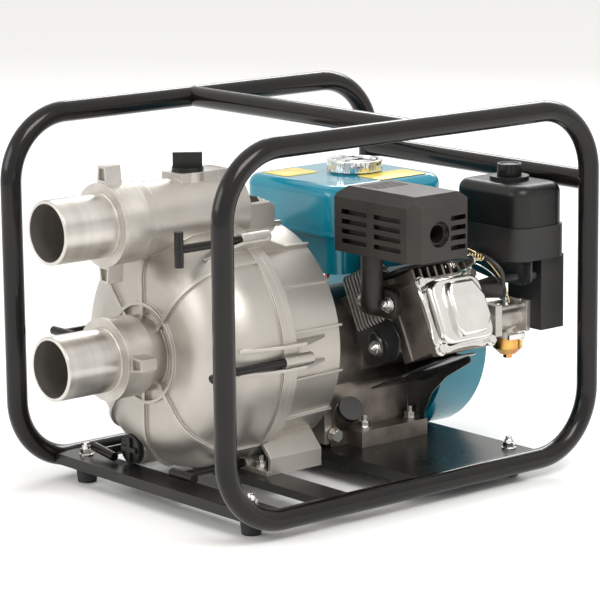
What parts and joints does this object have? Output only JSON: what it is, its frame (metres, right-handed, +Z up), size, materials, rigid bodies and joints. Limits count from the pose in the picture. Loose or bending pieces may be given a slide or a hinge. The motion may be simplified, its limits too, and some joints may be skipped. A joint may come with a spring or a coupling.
{
  "type": "engine-driven trash pump",
  "caption": "Engine-driven trash pump in a tubular carrying cradle, with hose barbs on the front for inlet and outlet and a teal fuel tank on top.",
  "frame": {"origin": "centre of the footprint, on the floor under the rubber feet", "axes": "+X towards the cylinder head, -Y towards the hose ports, +Z up"},
  "size_m": [0.4378, 0.6372, 0.4607],
  "materials": {
    "tube_black": "gloss black powder coat",
    "rail_black": "satin black paint",
    "foot_rubber": "matt",
    "zinc": "bright zinc plate",
    "cast_alloy": "rough cast",
    "pump_cast": "bead-blasted casting",
    "cast_iron": "as cast",
    "black_plastic": "semi-gloss",
    "matte_plastic": "fine texture",
    "guard_black": "textured black",
    "teal_paint": "gloss teal",
    "steel": "machined",
    "chrome": "polished",
    "brass": "yellow passivated",
    "foam": "open foam",
    "rubber": "soft",
    "red_plastic": "gloss",
    "heat_steel": "heat tinted"
  },
  "bodies": {
    "cradle": {"left_hoop": "tube_black", "right_hoop": "tube_black", "carry_bar": "tube_black", "rear_bar": "tube_black", "front_rail": "rail_black", "rear_rail": "rail_black", "pump_rail": "rail_black", "engine_plate": "rail_black", "rubber_feet": "foot_rubber", "foot_cap_nuts": "zinc", "front_casing": "pump_cast", "rear_casing": "pump_cast", "volute": "cast_iron", "shaft_seal": "steel", "hose_barbs": "cast_alloy", "mounting_bolts": "zinc", "crankcase": "cast_alloy", "crankcase_cover": "cast_alloy", "cylinder": "cast_alloy", "cylinder_head": "cast_alloy", "valve_cover": "zinc", "engine_bolts": "zinc", "fan_shroud": "teal_paint", "recoil_cover": "teal_paint", "fuel_tank": "teal_paint", "muffler_guard": "guard_black", "muffler": "heat_steel", "exhaust_pipe": "heat_steel", "air_cleaner_cover": "black_plastic", "air_cleaner_base": "matte_plastic", "filter_element": "foam", "carburettor": "cast_alloy", "float_bowl": "brass", "control_plate": "zinc", "plug_lead": "rubber", "spark_plug": "steel", "plug_cap": "rubber", "cylinder_baffles": "rail_black"},
    "drive_shaft": {"crankshaft": "steel", "flywheel": "cast_iron", "impeller": "cast_iron"},
    "piston": {"piston": "cast_alloy"},
    "inlet_nut": {"inlet_nut": "cast_alloy"},
    "outlet_nut": {"outlet_nut": "cast_alloy"},
    "priming_plug": {"priming_plug": "black_plastic"},
    "drain_plug": {"drain_plug": "black_plastic"},
    "fuel_cap": {"fuel_cap": "chrome"},
    "air_cleaner_knob": {"air_cleaner_knob": "black_plastic"},
    "choke_lever": {"choke_lever": "matte_plastic"},
    "fuel_cock_lever": {"fuel_cock_lever": "matte_plastic"},
    "throttle_lever": {"throttle_lever": "matte_plastic"},
    "stop_switch": {"stop_switch": "red_plastic"},
    "oil_plug": {"oil_plug": "matte_plastic"},
    "starter_grip": {"starter_grip": "matte_plastic"},
    "check_valve": {"check_valve_flap": "rubber"},
    "clamp_a": {"clamp_bolt_a": "tube_black"},
    "clamp_b": {"clamp_bolt_b": "tube_black"},
    "clamp_c": {"clamp_bolt_c": "tube_black"},
    "clamp_d": {"clamp_bolt_d": "tube_black"},
    "clamp_e": {"clamp_bolt_e": "tube_black"}
  },
  "joints": [
    {"name": "shaft_spin", "type": "hinge", "parent": "cradle", "child": "drive_shaft", "pos_m": [-0.04285, 0.0224, 0.141], "axis": [0, 1, 0], "continuous": true},
    {"name": "piston_stroke", "type": "slide", "parent": "cradle", "child": "piston", "axis": [-0.9063, 0, -0.4226], "range_m": [0, 0.045]},
    {"name": "inlet_nut_turn", "type": "hinge", "parent": "cradle", "child": "inlet_nut", "pos_m": [-0.04285, -0.2176, 0.1765], "axis": [0, 1, 0], "continuous": true},
    {"name": "outlet_nut_turn", "type": "hinge", "parent": "cradle", "child": "outlet_nut", "pos_m": [-0.04285, -0.2176, 0.336], "axis": [0, 1, 0], "continuous": true},
    {"name": "priming_plug_turn", "type": "hinge", "parent": "cradle", "child": "priming_plug", "pos_m": [-0.04285, -0.1136, 0.384], "axis": [0, 0, 1], "continuous": true},
    {"name": "drain_plug_turn", "type": "hinge", "parent": "cradle", "child": "drain_plug", "pos_m": [-0.07885, -0.1736, 0.0515], "axis": [0, -1, 0], "continuous": true},
    {"name": "fuel_cap_turn", "type": "hinge", "parent": "cradle", "child": "fuel_cap", "pos_m": [-0.05485, 0.1584, 0.364], "axis": [0, 0, 1], "range_deg": [0, 90]},
    {"name": "filter_knob_turn", "type": "hinge", "parent": "cradle", "child": "air_cleaner_knob", "pos_m": [0.12715, 0.2494, 0.369], "axis": [0, 0, 1], "continuous": true},
    {"name": "choke_swing", "type": "hinge", "parent": "cradle", "child": "choke_lever", "pos_m": [0.13115, 0.2404, 0.21], "axis": [0, 0, 1], "range_deg": [-50, 0]},
    {"name": "fuel_cock_swing", "type": "hinge", "parent": "cradle", "child": "fuel_cock_lever", "pos_m": [0.15715, 0.2399, 0.167], "axis": [1, 0, 0], "range_deg": [0, 80]},
    {"name": "throttle_swing", "type": "hinge", "parent": "cradle", "child": "throttle_lever", "pos_m": [0.06715, 0.1644, 0.279], "axis": [0, 0, 1], "range_deg": [-35, 35]},
    {"name": "stop_switch_turn", "type": "hinge", "parent": "cradle", "child": "stop_switch", "pos_m": [-0.14985, 0.1984, 0.208], "axis": [0, -1, 0], "range_deg": [0, 90]},
    {"name": "oil_plug_turn", "type": "hinge", "parent": "cradle", "child": "oil_plug", "pos_m": [0.04165, 0.0622, 0.0804], "axis": [-0.7926, 0.2265, -0.5661], "continuous": true},
    {"name": "starter_pull", "type": "slide", "parent": "cradle", "child": "starter_grip", "axis": [-1, 0, 0], "range_m": [0, 0.25]},
    {"name": "check_valve_swing", "type": "hinge", "parent": "cradle", "child": "check_valve", "pos_m": [-0.04285, -0.1748, 0.2265], "axis": [1, 0, 0], "range_deg": [0, 55]},
    {"name": "clamp_a_turn", "type": "hinge", "parent": "cradle", "child": "clamp_a", "pos_m": [0.03465, -0.1276, 0.31073], "axis": [0, -1, 0], "continuous": true},
    {"name": "clamp_b_turn", "type": "hinge", "parent": "cradle", "child": "clamp_b", "pos_m": [0.11215, -0.1276, 0.1765], "axis": [0, -1, 0], "continuous": true},
    {"name": "clamp_c_turn", "type": "hinge", "parent": "cradle", "child": "clamp_c", "pos_m": [0.03465, -0.1276, 0.04227], "axis": [0, -1, 0], "range_deg": [-9, 9]},
    {"name": "clamp_d_turn", "type": "hinge", "parent": "cradle", "child": "clamp_d", "pos_m": [-0.12035, -0.1276, 0.04227], "axis": [0, -1, 0], "range_deg": [-1, 16]},
    {"name": "clamp_e_turn", "type": "hinge", "parent": "cradle", "child": "clamp_e", "pos_m": [-0.19785, -0.1276, 0.1765], "axis": [0, -1, 0], "continuous": true}
  ]
}
